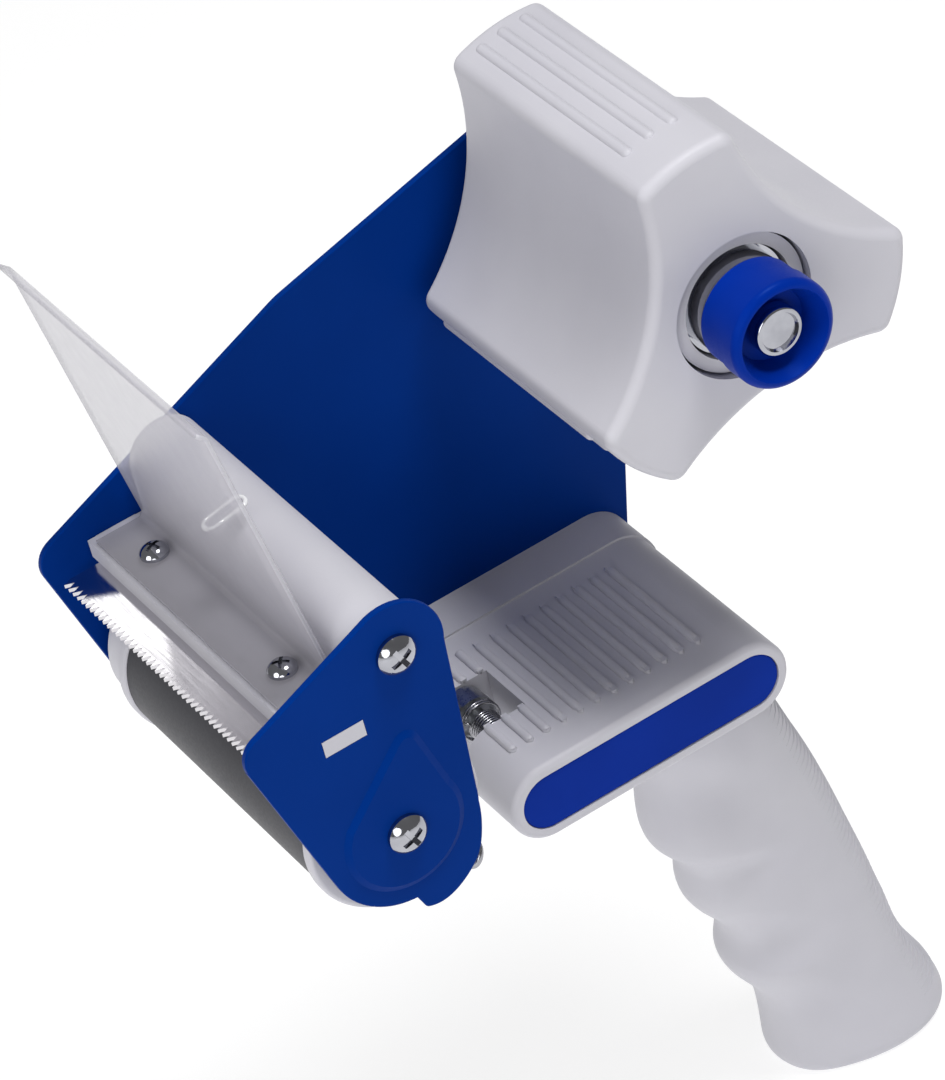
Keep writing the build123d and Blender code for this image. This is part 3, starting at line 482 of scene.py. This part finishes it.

# A clear oblong tongue stands on the flap's back, at its middle: a thin plate with a round rim whose
# near-white colour is a painted highlight.
TONGUE_ROOT = Vector((-0.1050, -0.0410, -0.0076))
TONGUE_TIP = Vector((-0.0957, -0.0410, -0.0060))
TONGUE_HALF_WIDTH = 0.0017
TONGUE_RIM_RADIUS = 0.0005
TONGUE_RIM_SIDES = 8
TONGUE_PLATE = 0.0004
TONGUE_END_STEPS = 12
tongue_along = (TONGUE_TIP - TONGUE_ROOT).normalized()
tongue_across = Vector((0, 1, 0))
tongue_outline = []
for end, first_angle in ((TONGUE_TIP, -90), (TONGUE_ROOT, 90)):
    inward = -1 if end is TONGUE_TIP else 1
    middle = end + tongue_along * (inward * TONGUE_HALF_WIDTH)
    for step in range(TONGUE_END_STEPS + 1):
        angle = math.radians(first_angle + 180 / TONGUE_END_STEPS * step)
        reach = tongue_along * math.cos(angle) + tongue_across * math.sin(angle)
        tongue_outline.append(middle + reach * TONGUE_HALF_WIDTH)
tongue_rim = [*tongue_outline, tongue_outline[0]]
rim_tube = tube(tongue_rim, TONGUE_RIM_RADIUS, TONGUE_RIM_SIDES)
add_piece("wiper_flap_tongue_rim", *rim_tube, clear_rim_painted_highlight, "frame", "clear_plastic")
tongue_normal = tongue_along.cross(tongue_across).normalized() * (TONGUE_PLATE / 2)
corners = len(tongue_outline)
plate_vertices = [point + tongue_normal for point in tongue_outline]
plate_vertices += [point - tongue_normal for point in tongue_outline]
plate_faces = [tuple(range(corners)), tuple(range(corners, 2 * corners))]
for corner in range(corners):
    after = (corner + 1) % corners
    plate_faces.append((corner, after, corners + after, corners + corner))
add_piece(
    "wiper_flap_tongue_plate", plate_vertices, plate_faces, clear_plastic, "frame", "clear_plastic",
    smooth=False,
)


# --- springs ----------------------------------------------------------------------------------------
COIL_STEPS_PER_TURN = 28


def coil(centre, radius, start_y, end_y, turns, start_angle, closed=0.0):
    """Points of a coil round a line along Y. Closed is how many turns lie flat at each end."""
    points = []
    steps = int(turns * COIL_STEPS_PER_TURN)
    for step in range(steps + 1):
        turn = turns * step / steps
        rise = min(max((turn - closed) / (turns - 2 * closed), 0.0), 1.0)
        angle = start_angle + 2 * math.pi * turn
        points.append(
            Vector((
                centre[0] + radius * math.cos(angle),
                start_y + (end_y - start_y) * rise,
                centre[1] + radius * math.sin(angle),
            ))
        )
    return points


# The torsion spring has two wide turns at its far end, then a tight run, and a leg at each end.
TORSION_WIRE_RADIUS = 0.00026
TORSION_WIDE_RADIUS = 0.0044
TORSION_COIL_RADIUS = 0.0032
TORSION_CENTRE = (-0.0590, -0.0900)
TORSION_START = math.radians(150)
TORSION_WIDE_FAR_Y, TORSION_WIDE_NEAR_Y, TORSION_WIDE_TURNS = -0.0322, -0.0338, 2
TORSION_TIGHT_FAR_Y, TORSION_TIGHT_NEAR_Y, TORSION_TIGHT_TURNS = -0.0344, -0.0402, 8
TORSION_SIDES = 10
ARM_LEG_BEND = Vector((-0.0024, 0, 0.0012))
ARM_LEG_END = Vector((-0.0080, 0.0003, 0.0046))
DOWN_LEG_END = Vector((-0.0006, 0.0, -0.0095))
wide_turns = coil(
    TORSION_CENTRE, TORSION_WIDE_RADIUS, TORSION_WIDE_FAR_Y, TORSION_WIDE_NEAR_Y,
    TORSION_WIDE_TURNS, TORSION_START,
)
tight_turns = coil(
    TORSION_CENTRE, TORSION_COIL_RADIUS, TORSION_TIGHT_FAR_Y, TORSION_TIGHT_NEAR_Y,
    TORSION_TIGHT_TURNS, TORSION_START,
)
arm_leg = [wide_turns[0] + ARM_LEG_END, wide_turns[0] + ARM_LEG_BEND]
down_leg = tight_turns[-1] + DOWN_LEG_END
torsion = tube([*arm_leg, *wide_turns, *tight_turns, down_leg], TORSION_WIRE_RADIUS, TORSION_SIDES)
spring = add_piece("retainer_torsion_spring", *torsion, spring_steel, "frame", "spring_steel")
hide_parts("retainer_spring")

# The brake spring fills its CAD node's length. The real spring shortens by the travel at the end of the
# knob's range; this coil keeps its full length.
BRAKE_WIRE_RADIUS = 0.00085
BRAKE_COIL_RADIUS = 0.0081
BRAKE_TURNS = 3.9
BRAKE_CLOSED_TURNS = 0.35
BRAKE_SIDES = 12
spring_low, spring_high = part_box("brake_spring")
brake_coil = coil(
    (0, 0), BRAKE_COIL_RADIUS, spring_high.y - BRAKE_WIRE_RADIUS, spring_low.y + BRAKE_WIRE_RADIUS,
    BRAKE_TURNS, 0.0, closed=BRAKE_CLOSED_TURNS,
)
brake_tube = tube(brake_coil, BRAKE_WIRE_RADIUS, BRAKE_SIDES)
brake = add_piece("brake_coil_spring", *brake_tube, spring_steel, "frame", "spring_steel")
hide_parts("brake_spring")
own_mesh(brake)
